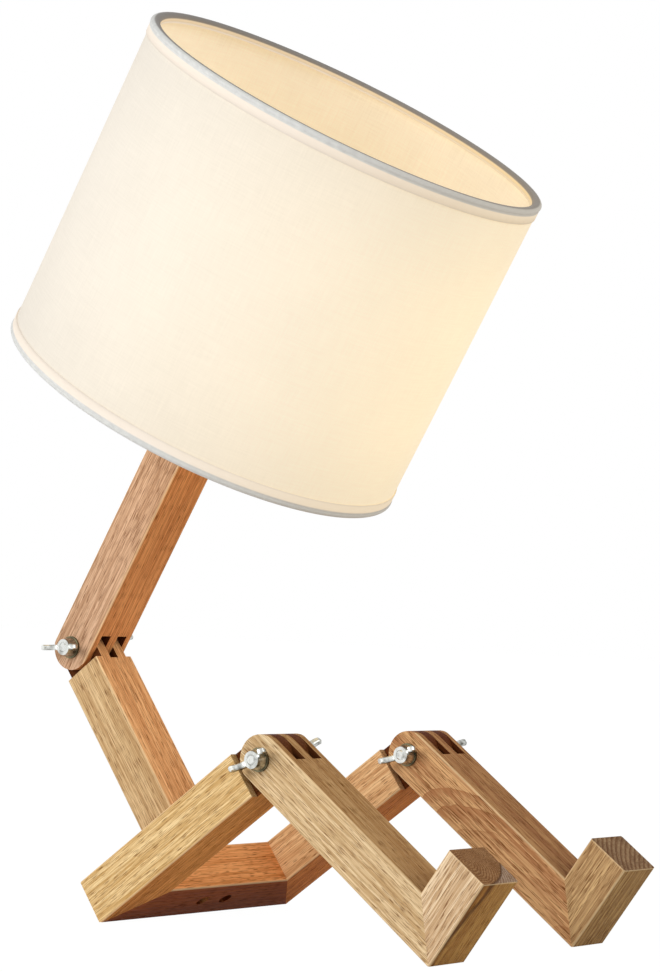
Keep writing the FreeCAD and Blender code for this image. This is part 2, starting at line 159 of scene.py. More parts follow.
@dataclass(frozen=True)
class Space:
    """Own space of a bar or of the head: where its origin lies and how it is turned."""

    matrix: Matrix

    def local(self, tree: Tree) -> Node:
        """Make the node that gives coordinates in this space.

        Args:
            tree: Node tree of the material.

        Returns:
            The node, in millimetres.
        """
        origin, turn, _ = self.matrix.decompose()
        place = add_node(tree, "TexCoord").outputs["Object"]
        return add_node(tree, "Mapping", place, origin, turn.to_euler("XYZ"), (MM, MM, MM),
                        vector_type="TEXTURE")

    def facing(self, tree: Tree) -> Node:
        """Make the node that gives the surface normal in this space."""
        normal = add_node(tree, "TexCoord").outputs["Normal"]
        return add_node(tree, "Mapping", normal, None, self.matrix.to_euler("XYZ"),
                        vector_type="TEXTURE")


def leaned(point: Vector, degrees: float) -> Space:
    """Space with its origin at a point in metres, turned about X."""
    return Space(Matrix.Translation(point) @ Matrix.Rotation(math.radians(degrees), 4, "X"))


def joint_point(name: str) -> Vector:
    """Point on a joint's axis, in metres."""
    return Vector(next(j["pos_m"] for j in frame["joints"] if j["name"] == name))


def shin_slope() -> float:
    """Work out how steeply a shin falls from the height of its knee.

    Returns:
        Its angle below the horizon, in degrees.
    """
    half = BAR_DEPTH / 2
    height = joint_point("left_knee").z / MM + STANDING_LAND
    reach = math.hypot(SHIN_LENGTH, half)
    return math.degrees(math.asin(height / reach) - math.atan2(half, SHIN_LENGTH))


class Figure(Enum):
    """How the growth rings meet a bar: the pith's place, and its drift along the bar, in mm."""

    STRAIGHT = ((-70.0, 46.0), (0.012, -0.02))
    RIFT = ((52.0, -64.0), (-0.015, 0.02))
    ARCHED = ((-14.0, -12.0), (0.0, 0.0))
    CENTRED = ((-11.0, 2.0), (0.0, 0.0))


class Pattern(Enum):
    """Noises of the wood: size across and along the grain in mm, octaves, and its own number.

    Real pores are 0.3 mm wide. They are drawn a little coarser so that they show.
    """

    RING_WANDER = (16.0, 55.0, 2.0, 1)
    ARCH_WANDER = (12.0, 24.0, 2.0, 1)
    PORE_DASHES = (0.36, 6.0, 0.0, 2)
    PORE_PATCHES = (4.0, 30.0, 1.0, 3)
    FINE_FIBRES = (0.42, 20.0, 1.0, 4)
    BROAD_BANDS = (7.0, 110.0, 2.0, 5)
    LONG_FIBRES = (0.9, 80.0, 2.0, 6)
    STAIN_WANDER = (30.0, 22.0, 1.0, 9)


@dataclass(frozen=True)
class PaintedFaceTone:
    """Pale and dark colour of the wood on one kind of face, with the painted light or shade of that
    face.
    """

    light: str
    deep: str


@dataclass(frozen=True)
class StainLine:
    """Dark line where the heartwood ends: a circle at a height of the bar, and its drift, in mm."""

    middle: tuple[float, float]
    radius: float
    height: float
    drift: float


@dataclass(frozen=True)
class Spot:
    """Where a shader is on a bar: its place in mm and its normal, in the bar's own space."""

    tree: Tree
    place: Node
    at: list[Socket]
    way: list[Socket]


@dataclass(frozen=True)
class SandedOak:
    """Open-pored oak, sawn, sanded and oiled: straight fibres, short dark pores, a dull satin."""

    name: str
    space: Space
    figure: Figure
    seed: int
    # Tones of each face: the wood's own colour with painted light and shade, lighter or darker by how
    # light falls on that face.
    side: PaintedFaceTone
    plus_face_painted_tone: PaintedFaceTone
    minus_face_painted_tone: PaintedFaceTone
    pore: str = "#86602F"
    ring_width: float = 2.6
    ring_share: float = 0.3
    end_height: float = 0.0
    # Painted shade on the rounded finger tips, which sit deep in the joint.
    painted_shade_tips: bool = False
    stain: StainLine | None = None

    def build(self) -> bpy.types.Material:
        """Make the material.

        Returns:
            The material, whose grain runs along the bar.
        """
        material, tree = new_material(self.name)
        place = self.space.local(tree)
        facing = self.space.facing(tree)
        spot = Spot(tree, place, list(add_node(tree, "SeparateXYZ", place).outputs),
                    list(add_node(tree, "SeparateXYZ", facing).outputs))
        rings = self.arches(spot) if self.figure is Figure.ARCHED else self.rings(spot)
        pores = self.pores(spot, rings)
        wood = self.sawn(spot, rings, self.figured(spot, rings, pores))
        if self.stain:
            wood = self.stained(spot, wood)
        wood = self.painted_edge_highlight(spot, wood)
        height = add_node(tree, "Math", pores, rings, operation="ADD")
        bump = add_node(tree, "Bump", invert=True, named={
            "Strength": 0.4, "Distance": 0.15 * MM, "Height": height})
        rough = add_node(tree, "MapRange", pores, 0.0, 1.0, 0.55, 0.75)
        shader = add_node(tree, "BsdfPrincipled", named={
            "Base Color": wood, "Roughness": rough, "IOR": 1.5, "Specular IOR Level": 0.03,
            "Normal": bump})
        add_node(tree, "OutputMaterial", shader)
        return material

    def noise(self, spot: Spot, pattern: Pattern) -> Node:
        """Make a noise that is drawn out along the grain.

        Args:
            spot: Spot on the bar.
            pattern: Which pattern.

        Returns:
            Values about 0.5.
        """
        across, along, octaves, salt = pattern.value
        shift = (self.seed * 7.13 + salt * 3.7, self.seed * 3.31 + salt, self.seed * 5.17)
        place = add_node(spot.tree, "Mapping", spot.place, shift, None,
                         (1 / across, 1 / across, 1 / along))
        return add_node(spot.tree, "TexNoise", place, 1.0, octaves)

    def pith_distance(self, spot: Spot) -> Node:
        """Measure how far the pith is, which drifts and wanders along the bar.

        Args:
            spot: Spot on the bar.

        Returns:
            The distance in millimetres.
        """
        tree, (pith, drift) = spot.tree, self.figure.value
        wander = self.noise(spot, Pattern.RING_WANDER)
        spread = add_node(tree, "MapRange", wander, 0.0, 1.0, -3.2, 3.2, clamp=False)
        sides = []
        for axis in (0, 1):
            along = add_node(tree, "Math", spot.at[2], -drift[axis], spot.at[axis],
                             operation="MULTIPLY_ADD")
            shifted = add_node(tree, "Math", along, pith[axis], operation="SUBTRACT")
            sides.append(add_node(tree, "Math", shifted, spread, operation="ADD"))
        flat = add_node(tree, "CombineXYZ", *sides)
        return add_node(tree, "VectorMath", flat, operation="LENGTH")

    def rings(self, spot: Spot) -> Node:
        """Draw the growth rings round the pith.

        Args:
            spot: Spot on the bar.

        Returns:
            From 0 in the pale early wood to 1 at the dark line that ends each year.
        """
        tree = spot.tree
        phase = add_node(tree, "Math", self.pith_distance(spot), self.ring_width,
                         operation="DIVIDE")
        year = add_node(tree, "Math", phase, operation="FRACT")
        rise = add_node(tree, "MapRange", year, 0.25, 0.92, interpolation_type="SMOOTHSTEP")
        fall = add_node(tree, "MapRange", year, 1.0, 0.93)
        return add_node(tree, "Math", rise, fall, operation="MULTIPLY")

    def arch_height(self, spot: Spot) -> Node:
        """Find the arched ring through a spot, for a bar cut from a tapering log.

        Args:
            spot: Spot on the bar.

        Returns:
            The ring's height on the bar's edge, in millimetres.
        """
        tree, ((_, edge), _) = spot.tree, self.figure.value
        wander = self.noise(spot, Pattern.ARCH_WANDER)
        spread = add_node(tree, "MapRange", wander, 0.0, 1.0, -5.0, 5.0, clamp=False)
        across = add_node(tree, "Math", spot.at[1], edge, operation="SUBTRACT")
        square = add_node(tree, "Math", across, across, operation="MULTIPLY")
        drop = add_node(tree, "Math", square, -0.0315, spot.at[2], operation="MULTIPLY_ADD")
        widen = add_node(tree, "Math", square, 0.001, 1.0, operation="MULTIPLY_ADD")
        even = add_node(tree, "Math", drop, widen, operation="DIVIDE")
        wavy = add_node(tree, "Math", even, spread, operation="ADD")
        return add_node(tree, "Math", wavy, 1.0, operation="MAXIMUM")

    def arches(self, spot: Spot) -> Node:
        """Draw the rings of a flat-sawn face: wide arches, whose dark lines fade from the knee on.

        Args:
            spot: Spot on the bar.

        Returns:
            From 0 in the pale wood to 1 at a dark line.
        """
        tree, height = spot.tree, self.arch_height(spot)
        log_height = add_node(tree, "Math", height, math.e, operation="LOGARITHM")
        phase = add_node(tree, "Math", log_height, 1 / 0.45, -0.62, operation="MULTIPLY_ADD")
        year = add_node(tree, "Math", phase, operation="FRACT")
        fade = add_node(tree, "MapRange", year, 0.0, 0.9, 0.75, 0.0,
                        interpolation_type="SMOOTHSTEP")
        line = add_node(tree, "MapRange", year, 0.0, 0.08, 0.5, 0.0)
        both = add_node(tree, "Math", fade, line, operation="ADD")
        start = add_node(tree, "MapRange", height, 19.0, 20.0)
        weak = add_node(tree, "MapRange", height, 42.0, 50.0, 1.0, 0.35)
        strength = add_node(tree, "Math", start, weak, operation="MULTIPLY")
        side = add_node(tree, "Math", spot.way[0], operation="ABSOLUTE")
        level = add_node(tree, "Math", strength, side, operation="MULTIPLY")
        return add_node(tree, "Math", both, level, operation="MULTIPLY")

    def pores(self, spot: Spot, rings: Node) -> Node:
        """Draw the dark dashes of open pores.

        Args:
            spot: Spot on the bar.
            rings: Growth rings, whose dark lines have fewer pores.

        Returns:
            From 0 between the pores to 1 in them.
        """
        tree = spot.tree
        dashes = self.noise(spot, Pattern.PORE_DASHES)
        patches = self.noise(spot, Pattern.PORE_PATCHES)
        share = add_node(tree, "Math", patches, 0.25, dashes, operation="MULTIPLY_ADD")
        sparse = add_node(tree, "Math", rings, -0.03, share, operation="MULTIPLY_ADD")
        return add_node(tree, "MapRange", sparse, 0.715, 0.835)

    def figured(self, spot: Spot, rings: Node, pores: Node) -> Node:
        """Colour the wood by its fibres, rings and pores, and by painted light and shade, on its
        sides and its other two faces.

        Args:
            spot: Spot on the bar.
            rings: Growth rings.
            pores: Open pores.

        Returns:
            The colour.
        """
        tree = spot.tree
        fine = self.noise(spot, Pattern.FINE_FIBRES)
        long = self.noise(spot, Pattern.LONG_FIBRES)
        broad = self.noise(spot, Pattern.BROAD_BANDS)
        streak = add_node(tree, "Math", fine, long, operation="ADD")
        whole = add_node(tree, "Math", broad, 0.7, streak, operation="MULTIPLY_ADD")
        tone = add_node(tree, "MapRange", whole, 1.13, 1.57)
        ringed = add_node(tree, "Math", rings, self.ring_share, tone, operation="MULTIPLY_ADD")
        wood = add_node(tree, "Mix", ringed, self.side.light, self.side.deep, data_type="RGBA")
        for face, way in ((self.plus_face_painted_tone, 1.0), (self.minus_face_painted_tone, -1.0)):
            other = add_node(tree, "Mix", ringed, face.light, face.deep, data_type="RGBA")
            toward = add_node(tree, "Math", spot.way[1], way, operation="MULTIPLY")
            share = add_node(tree, "MapRange", toward, 0.35, 0.65)
            wood = add_node(tree, "Mix", share, wood, other, data_type="RGBA")
        share = add_node(tree, "Math", pores, 0.68, operation="MULTIPLY")
        return add_node(tree, "Mix", share, wood, self.pore, **MULTIPLIED)

    def sawn(self, spot: Spot, rings: Node, wood: Node) -> Node:
        """Darken the end grain, and paint shade on the walls and bottoms of the comb's slots,
        together with the darker tone of rough-sawn wood.

        Args:
            spot: Spot on the bar.
            rings: Growth rings.
            wood: Colour so far.

        Returns:
            The colour.
        """
        tree = spot.tree
        end = add_node(tree, "MapRange", spot.way[2], 0.75, 0.95)
        end_tint = "#BFBCC4" if self.end_height else "#7A5640"
        wood = add_node(tree, "Mix", end, wood, end_tint, **MULTIPLIED)
        ringed = add_node(tree, "Math", end, rings, operation="MULTIPLY")
        wood = add_node(tree, "Mix", ringed, wood, "#D2BEB0", **MULTIPLIED)
        # Painted shade: slot walls, slot bottoms and, on the thighs, the rounded finger tips are
        # darkened where light can't reach, with some of the darker tone of rough-sawn wood.
        wall = add_node(tree, "Math", spot.way[0], operation="ABSOLUTE")
        depth = add_node(tree, "Math", spot.at[0], operation="ABSOLUTE")
        inside = add_node(tree, "Math", depth, BAR_BREADTH / 2 - OUTER_FINGER + 0.1,
                          operation="LESS_THAN")
        down = add_node(tree, "Math", spot.way[2], -0.5, operation="LESS_THAN")
        lowest = -BAR_DEPTH if self.painted_shade_tips else BAR_DEPTH / 4
        past = add_node(tree, "Math", spot.at[2], lowest, operation="GREATER_THAN")
        bottom = add_node(tree, "Math", down, past, operation="MULTIPLY")
        either = add_node(tree, "Math", wall, bottom, operation="MAXIMUM")
        dark = add_node(tree, "Math", either, inside, operation="MULTIPLY")
        return add_node(tree, "Mix", dark, wood, "#6E4A36", **MULTIPLIED)

    def stained(self, spot: Spot, wood: Node) -> Node:
        """Draw the dark line at the heartwood's end, with paler sapwood beyond it.

        Args:
            spot: Spot on the bar.
            wood: Colour so far.

        Returns:
            The colour.
        """
        tree, stain = spot.tree, self.stain
        wander = self.noise(spot, Pattern.STAIN_WANDER)
        spread = add_node(tree, "MapRange", wander, 0.0, 1.0, -1.6, 1.6, clamp=False)
        fall = add_node(tree, "Math", spot.at[2], stain.height, operation="SUBTRACT")
        moved = add_node(tree, "Math", fall, -stain.drift, spot.at[0], operation="MULTIPLY_ADD")
        flat = add_node(tree, "CombineXYZ", moved, spot.at[1])
        off = add_node(tree, "VectorMath", flat, (*stain.middle, 0.0), operation="DISTANCE")
        away = add_node(tree, "Math", off, stain.radius, operation="SUBTRACT")
        wavy = add_node(tree, "Math", away, spread, operation="ADD")
        near = add_node(tree, "Math", wavy, operation="ABSOLUTE")
        line = add_node(tree, "MapRange", near, 0.9, 0.2, 0.0, 0.75)
        side = add_node(tree, "Math", spot.way[0], -0.5, operation="GREATER_THAN")
        shown = add_node(tree, "Math", line, side, operation="MULTIPLY")
        end = add_node(tree, "MapRange", spot.way[2], 0.75, 0.95)
        heart = add_node(tree, "MapRange", wavy, 0.4, -0.4)
        front = add_node(tree, "MapRange", spot.way[1], -0.35, -0.65, 0.0, 0.6)
        either = add_node(tree, "Math", end, front, operation="MAXIMUM")
        core = add_node(tree, "Math", either, heart, operation="MULTIPLY")
        wood = add_node(tree, "Mix", core, wood, "#EDD1A7", **MULTIPLIED)
        edge = add_node(tree, "MapRange", spot.at[0], -9.8, -12.6)
        brown = add_node(tree, "Math", edge, front, operation="MULTIPLY")
        wood = add_node(tree, "Mix", brown, wood, "#8A6850", **MULTIPLIED)
        return add_node(tree, "Mix", shown, wood, "#4A2B12", data_type="RGBA")

    def painted_edge_highlight(self, spot: Spot, wood: Node) -> Node:
        """Paint a highlight: a paler line along the bar's eased edges and the rim of its free end.

        Args:
            spot: Spot on the bar.
            wood: Colour so far.

        Returns:
            The colour.
        """
        tree = spot.tree
        size = add_node(tree, "VectorMath", spot.place, operation="ABSOLUTE")
        split = add_node(tree, "SeparateXYZ", size).outputs
        corner = add_node(tree, "Math", split[0], split[1], operation="ADD")
        edge_sum = (BAR_BREADTH + BAR_DEPTH) / 2
        edge = add_node(tree, "MapRange", corner, edge_sum - 1.0, edge_sum - 0.6, 0.0, 0.55)
        end = self.end_height
        if end:
            rim = add_node(tree, "MapRange", split[2], end - 0.9, end - 0.3, 0.0, 0.5)
            flush = add_node(tree, "Math", split[2], end - 0.02, operation="LESS_THAN")
            rim = add_node(tree, "Math", rim, flush, operation="MULTIPLY")
            edge = add_node(tree, "Math", edge, rim, operation="MAXIMUM")
        return add_node(tree, "Mix", edge, wood, "#F2D6A8", data_type="RGBA")


@dataclass(frozen=True)
class PlatedMetal:
    """Stamped or cast metal with a thin plated coat: a mirror, with a painted highlight on faces
    square to the bolt and dark blotches of painted reflection.
    """

    name: str
    colour: str
    # Dark colour of the blotches: painted reflections over uneven plating.
    cloud: str
    roughness: float
    grain: float = 3.6
    dulling: float = 0.14
    square_face_highlight: float = 0.25

    def build(self) -> bpy.types.Material:
        """Make the material.

        Returns:
            The material, whose plating is uneven at the grain's size in millimetres, its dark
            blotches also painting reflections.
        """
        material, tree = new_material(self.name)
        place = add_node(tree, "TexCoord").outputs
        cloud = add_node(tree, "TexNoise", place["Object"], 1 / (self.grain * MM), 2.0)
        # Painted highlight: faces square to X, along the bolt, lean to the bright colour and the
        # sides to the dark one.
        way = add_node(tree, "SeparateXYZ", place["Normal"]).outputs[0]
        square = add_node(tree, "Math", way, operation="ABSOLUTE")
        mottle_and_sheen = add_node(tree, "Math", square, self.square_face_highlight, cloud, operation="MULTIPLY_ADD")
        patch = add_node(tree, "MapRange", mottle_and_sheen, 0.36, 0.78)
        tint = add_node(tree, "Mix", patch, self.cloud, self.colour, data_type="RGBA")
        rough = add_node(tree, "MapRange", cloud, 0.3, 0.7, self.roughness + self.dulling,
                         self.roughness)
        bump = add_node(tree, "Bump", named={
            "Strength": 0.15, "Distance": 0.06 * MM, "Height": cloud})
        shader = add_node(tree, "BsdfPrincipled", named={
            "Base Color": tint, "Metallic": 1.0, "Roughness": rough, "Normal": bump})
        add_node(tree, "OutputMaterial", shader)
        return material


@dataclass(frozen=True)
class SmoothCoat:
    """Moulded plastic, glazed ceramic or powder coat: one colour, a fine skin and a soft gloss."""

    name: str
    colour: str
    roughness: float
    grain: float
    relief: float

    def build(self) -> bpy.types.Material:
        """Make the material.

        Returns:
            The material, whose skin has the grain and relief given in millimetres.
        """
        material, tree = new_material(self.name)
        place = add_node(tree, "TexCoord").outputs["Object"]
        skin = add_node(tree, "TexNoise", place, 1 / (self.grain * MM), 2.0)
        bump = add_node(tree, "Bump", named={
            "Strength": 0.3, "Distance": self.relief * MM, "Height": skin})
        rough = add_node(tree, "MapRange", skin, 0.0, 1.0, self.roughness - 0.06,
                         self.roughness + 0.06)
        shader = add_node(tree, "BsdfPrincipled", named={
            "Base Color": self.colour, "Roughness": rough, "IOR": 1.5, "Normal": bump})
        add_node(tree, "OutputMaterial", shader)
        return material


@dataclass(frozen=True)
class OpalGlass:
    """Blown glass with a white inner coat, lit from within: an even warm glow under a gloss."""

    colour: str = "#CFCABF"
    pale_glow: str = "#FFF3DC"
    glow: str = "#FFE3B0"
    strength: float = 0.55
    cloud: float = 9.0

    def build(self) -> bpy.types.Material:
        """Make the material.

        Returns:
            The material, whose coat is uneven at the cloud's size in millimetres.
        """
        material, tree = new_material("blown opal glass")
        place = add_node(tree, "TexCoord").outputs["Object"]
        coat = add_node(tree, "TexNoise", place, 1 / (self.cloud * MM), 2.0)
        tint = add_node(tree, "Mix", coat, self.pale_glow, self.glow, data_type="RGBA")
        shader = add_node(tree, "BsdfPrincipled", named={
            "Base Color": self.colour, "Roughness": 0.22, "IOR": 1.5, "Emission Color": tint,
            "Emission Strength": self.strength})
        add_node(tree, "OutputMaterial", shader)
        return material


@dataclass(frozen=True)
class ShadeCloth:
    """Plain-woven linen and cotton on a stiff backing: a fine weave with a painted glow for the
    bulb's light through it.
    """

    name: str
    space: Space
    shaded: str
    colour: str
    glow: str
    strength: float
    radius: float
    middle: float
    far_glow: str
    far_level: float
    thread: float = 0.9
    slub: float = 16.0
    cloud: float = 38.0

    def build(self) -> bpy.types.Material:
        """Make the material.

        Returns:
            The material. Real threads are 0.3 mm apart and are drawn at 0.9 mm so that they show.
        """
        material, tree = new_material(self.name)
        local = self.space.local(tree)
        split = add_node(tree, "SeparateXYZ", local).outputs
        angle = add_node(tree, "Math", split[1], split[0], operation="ARCTAN2")
        round_way = add_node(tree, "Math", angle, self.radius, operation="MULTIPLY")
        cloth = add_node(tree, "CombineXYZ", round_way, split[2])
        threads = []
        for across, along in ((self.thread, self.slub), (self.slub, self.thread)):
            place = add_node(tree, "Mapping", cloth, None, None, (1 / across, 1 / along, 1.0))
            threads.append(add_node(tree, "TexNoise", place, 1.0, 1.0))
        weave = add_node(tree, "Math", *threads, operation="ADD")
        cloud = add_node(tree, "TexNoise", cloth, 1 / self.cloud, 2.0)
        uneven = add_node(tree, "Math", cloud, 0.8, weave, operation="MULTIPLY_ADD")
        tone = add_node(tree, "MapRange", uneven, 0.9, 1.9)
        base = add_node(tree, "Mix", tone, self.shaded, self.colour, data_type="RGBA")
        # Painted glow: strongest at mid height and weaker toward the rims, brighter and warmer toward
        # BRIGHT_WAY, dimmer and paler on the far side.
        height = add_node(tree, "Math", split[2], self.middle, operation="SUBTRACT")
        away = add_node(tree, "Math", height, operation="ABSOLUTE")
        fade = add_node(tree, "MapRange", away, 25.0, 100.0, 1.0, 0.84,
                        interpolation_type="SMOOTHSTEP")
        thin = add_node(tree, "MapRange", uneven, 0.9, 1.9, 0.97, 1.02)
        even = add_node(tree, "Math", fade, thin, operation="MULTIPLY")
        out = add_node(tree, "VectorMath", local, tuple(v / self.radius for v in BRIGHT_WAY),
                       operation="DOT_PRODUCT")
        nearer = add_node(tree, "MapRange", out, -0.9, 0.9, self.far_level, 1.0)
        level = add_node(tree, "Math", even, nearer, operation="MULTIPLY")
        tint = add_node(tree, "MapRange", out, -0.9, 0.9)
        warm = add_node(tree, "Mix", tint, self.far_glow, self.glow, data_type="RGBA")
        glow = add_node(tree, "VectorMath", warm, level, operation="SCALE")
        bump = add_node(tree, "Bump", named={
            "Strength": 0.25, "Distance": 0.12 * MM, "Height": weave})
        shader = add_node(tree, "BsdfPrincipled", named={
            "Base Color": base, "Roughness": 0.85, "IOR": 1.45, "Specular IOR Level": 0.2,
            "Sheen Weight": 0.1, "Emission Color": glow, "Emission Strength": self.strength,
            "Normal": bump})
        add_node(tree, "OutputMaterial", shader)
        return material


@dataclass(frozen=True)
class FoldedTape:
    """Cotton tape over a wire rim: an opaque pale grey roll with painted shade inside and on the glow
    side, then a thin hem with a painted glow.
    """

    name: str
    space: Space
    radius: float
    inside: float
    edge: float
    way: int
    dull_colour: str = "#CFCFCC"
    colour: str = "#DCDCD8"
    glow_side_shade_colour: str = "#C6C1B7"
    tuck_shade_colour: str = "#8A847E"
    lit_lip_colour: str = "#CDBB98"
    hem_colour: str = "#BAB6AE"
    glow: str = "#FFDCA2"
    far_glow: str = "#FFE9D2"
    strength: float = 0.45
    roll: float = 3.4
    hem: float = 8.0
    rib: float = 1.1

    def build(self) -> bpy.types.Material:
        """Make the material.

        Returns:
            The material. Real ribs are 0.4 mm apart and are drawn at 1.1 mm so that they show.
        """
        material, tree = new_material(self.name)
        local = self.space.local(tree)
        split = add_node(tree, "SeparateXYZ", local).outputs
        angle = add_node(tree, "Math", split[1], split[0], operation="ARCTAN2")
        count = add_node(tree, "Math", angle, self.radius / self.rib, operation="MULTIPLY")
        slanted = add_node(tree, "Math", split[2], 0.6, count, operation="MULTIPLY_ADD")
        rib = add_node(tree, "Math", slanted, operation="SINE")
        place = add_node(tree, "CombineXYZ", count, split[2])
        mottle_and_sheen = add_node(tree, "TexNoise", place, 0.3, 2.0)
        shade = add_node(tree, "MapRange", mottle_and_sheen, 0.3, 0.7)
        grey = add_node(tree, "Mix", shade, self.dull_colour, self.colour, data_type="RGBA")
        # Painted shade: the grey roll is darker on the side where the cloth's painted glow is
        # strongest.
        toward = add_node(tree, "VectorMath", local, tuple(v / self.radius for v in BRIGHT_WAY),
                          operation="DOT_PRODUCT")
        near = add_node(tree, "MapRange", toward, -0.2, 0.9)
        grey = add_node(tree, "Mix", near, grey, self.glow_side_shade_colour, data_type="RGBA")
        # Painted shade on the inner side of the roll, facing the axis; deeper than about 2 mm this is
        # the lip, which gets a painted glow like the lining.
        flat = add_node(tree, "CombineXYZ", split[0], split[1])
        out = add_node(tree, "VectorMath", flat, operation="LENGTH")
        tuck_shade = add_node(tree, "MapRange", out, self.inside + 4.1, self.inside + 3.3)
        grey = add_node(tree, "Mix", tuck_shade, grey, self.tuck_shade_colour, data_type="RGBA")
        depth = add_node(tree, "Math", split[2], self.way, -self.way * self.edge,
                         operation="MULTIPLY_ADD")
        deep = add_node(tree, "MapRange", depth, 1.7, 2.3)
        lip = add_node(tree, "Math", deep, tuck_shade, operation="MULTIPLY")
        grey = add_node(tree, "Mix", lip, grey, self.lit_lip_colour, data_type="RGBA")
        # Painted glow on the hem below the roll, and a little through the roll on the glow side.
        thin = add_node(tree, "MapRange", depth, self.roll - 0.2, self.roll + 0.5)
        base = add_node(tree, "Mix", thin, grey, self.hem_colour, data_type="RGBA")
        seam = add_node(tree, "MapRange", depth, self.hem - 0.9, self.hem - 0.5, 1.0, 0.86)
        through = add_node(tree, "Math", near, 0.1, operation="MULTIPLY")
        bright = add_node(tree, "Math", lip, 0.62, through, operation="MULTIPLY_ADD")
        lit = add_node(tree, "Math", thin, bright, operation="MAXIMUM")
        level = add_node(tree, "Math", lit, seam, operation="MULTIPLY")
        warm = add_node(tree, "Mix", near, self.far_glow, self.glow, data_type="RGBA")
        glow = add_node(tree, "VectorMath", warm, level, operation="SCALE")
        bump = add_node(tree, "Bump", named={
            "Strength": 0.25, "Distance": 0.08 * MM, "Height": rib})
        shader = add_node(tree, "BsdfPrincipled", named={
            "Base Color": base, "Roughness": 0.8, "IOR": 1.45, "Specular IOR Level": 0.25,
            "Sheen Weight": 0.1, "Emission Color": glow, "Emission Strength": self.strength,
            "Normal": bump})
        add_node(tree, "OutputMaterial", shader)
        return material


def make_piece(name: str, points: list[Vector], faces: Faces, body: str,
               slot: str) -> bpy.types.Object:
    """Make a smooth mesh piece and let it ride on a body.

    Args:
        name: Name of the piece.
        points: Corners in metres.
        faces: Corner numbers of each face.
        body: Body that carries it.
        slot: Material slot of the record; not used.

    Returns:
        The piece.
    """
    mesh = bpy.data.meshes.new(name)
    mesh.from_pydata(points, [], faces)
    mesh.update()
    mesh.polygons.foreach_set("use_smooth", [True] * len(mesh.polygons))
    piece = bpy.data.objects.new(name, mesh)
    bpy.context.scene.collection.objects.link(piece)
    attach(piece, body)
    log.info("made %s with %d faces", name, len(mesh.polygons))
    return piece


def lathe(space: Space, outline: Pairs, steps: int) -> tuple[list[Vector], Faces]:
    """Turn a closed outline about the Z axis of a space.

    Args:
        space: Space that the outline is drawn in.
        outline: Radius and height pairs in millimetres, anticlockwise, the radius to the right.
        steps: Faces round the axis.

    Returns:
        Points in metres and faces.
    """
    points = []
    for step in range(steps):
        angle = 2 * math.pi * step / steps
        for radius, height in outline:
            spot = Vector((radius * math.cos(angle), radius * math.sin(angle), height)) * MM
            points.append(space.matrix @ spot)
    faces = []
    count = len(outline)
    for step in range(steps):
        here, there = step * count, (step + 1) % steps * count
        for place in range(count):
            after = (place + 1) % count
            faces.append((here + place, there + place, there + after, here + after))
    return points, faces


def arc(centre: tuple[float, float], radius: tuple[float, float], start: float, end: float,
        steps: int) -> Pairs:
    """Lay points on part of an ellipse.

    Args:
        centre: Middle of the ellipse.
        radius: Half sizes sideways and upwards.
        start: First angle in degrees.
        end: Last angle in degrees.
        steps: Stretches between the points.

    Returns:
        The points.
    """
    angles = [math.radians(start + (end - start) * step / steps) for step in range(steps + 1)]
    return [(centre[0] + radius[0] * math.cos(a), centre[1] + radius[1] * math.sin(a))
            for a in angles]


# Figure, seed, and the tones of the sides, of the +Y face and of the -Y face. The tones hold painted
# light and shade as well as the wood's own colour.
OAK_LOOKS = {
    "left_thigh": (Figure.STRAIGHT, 3, PaintedFaceTone("#F4D6A0", "#C79D61"), PaintedFaceTone("#DC9951", "#B3702F"),
                   PaintedFaceTone("#EFC293", "#C6915A")),
    "left_shin": (Figure.RIFT, 5, PaintedFaceTone("#ECD2A8", "#C19E70"), PaintedFaceTone("#C19B6A", "#9E7345"),
                  PaintedFaceTone("#C19B6A", "#9E7345")),
    "left_foot": (Figure.CENTRED, 8, PaintedFaceTone("#F2D8B4", "#C6A27A"), PaintedFaceTone("#C69C6A", "#A17445"),
                  PaintedFaceTone("#B78C4E", "#956733")),
    "torso": (Figure.STRAIGHT, 11, PaintedFaceTone("#E8C99A", "#BC9668"), PaintedFaceTone("#FFC78C", "#D4945E"),
              PaintedFaceTone("#E1B988", "#B88F5E")),
    "pelvis": (Figure.RIFT, 13, PaintedFaceTone("#FDB473", "#D5894D"), PaintedFaceTone("#DFA76C", "#B58147"),
               PaintedFaceTone("#964E18", "#7C3A10")),
    "upper_arm": (Figure.RIFT, 17, PaintedFaceTone("#E1BA99", "#B78D6C"), PaintedFaceTone("#D9A982", "#AF835E"),
                  PaintedFaceTone("#FBB170", "#CD844D")),
    "right_thigh": (Figure.STRAIGHT, 19, PaintedFaceTone("#EFC694", "#C89666"), PaintedFaceTone("#DB8D47", "#B6692E"),
                    PaintedFaceTone("#ECB988", "#C28A57")),
    "right_shin": (Figure.ARCHED, 23, PaintedFaceTone("#E2B682", "#B27D54"), PaintedFaceTone("#B5895A", "#8F5C38"),
                   PaintedFaceTone("#B5895A", "#8F5C38")),
    "right_foot": (Figure.RIFT, 29, PaintedFaceTone("#DCB885", "#A9835A"), PaintedFaceTone("#B68658", "#8F5A37"),
                   PaintedFaceTone("#B5915D", "#8A663E")),
}


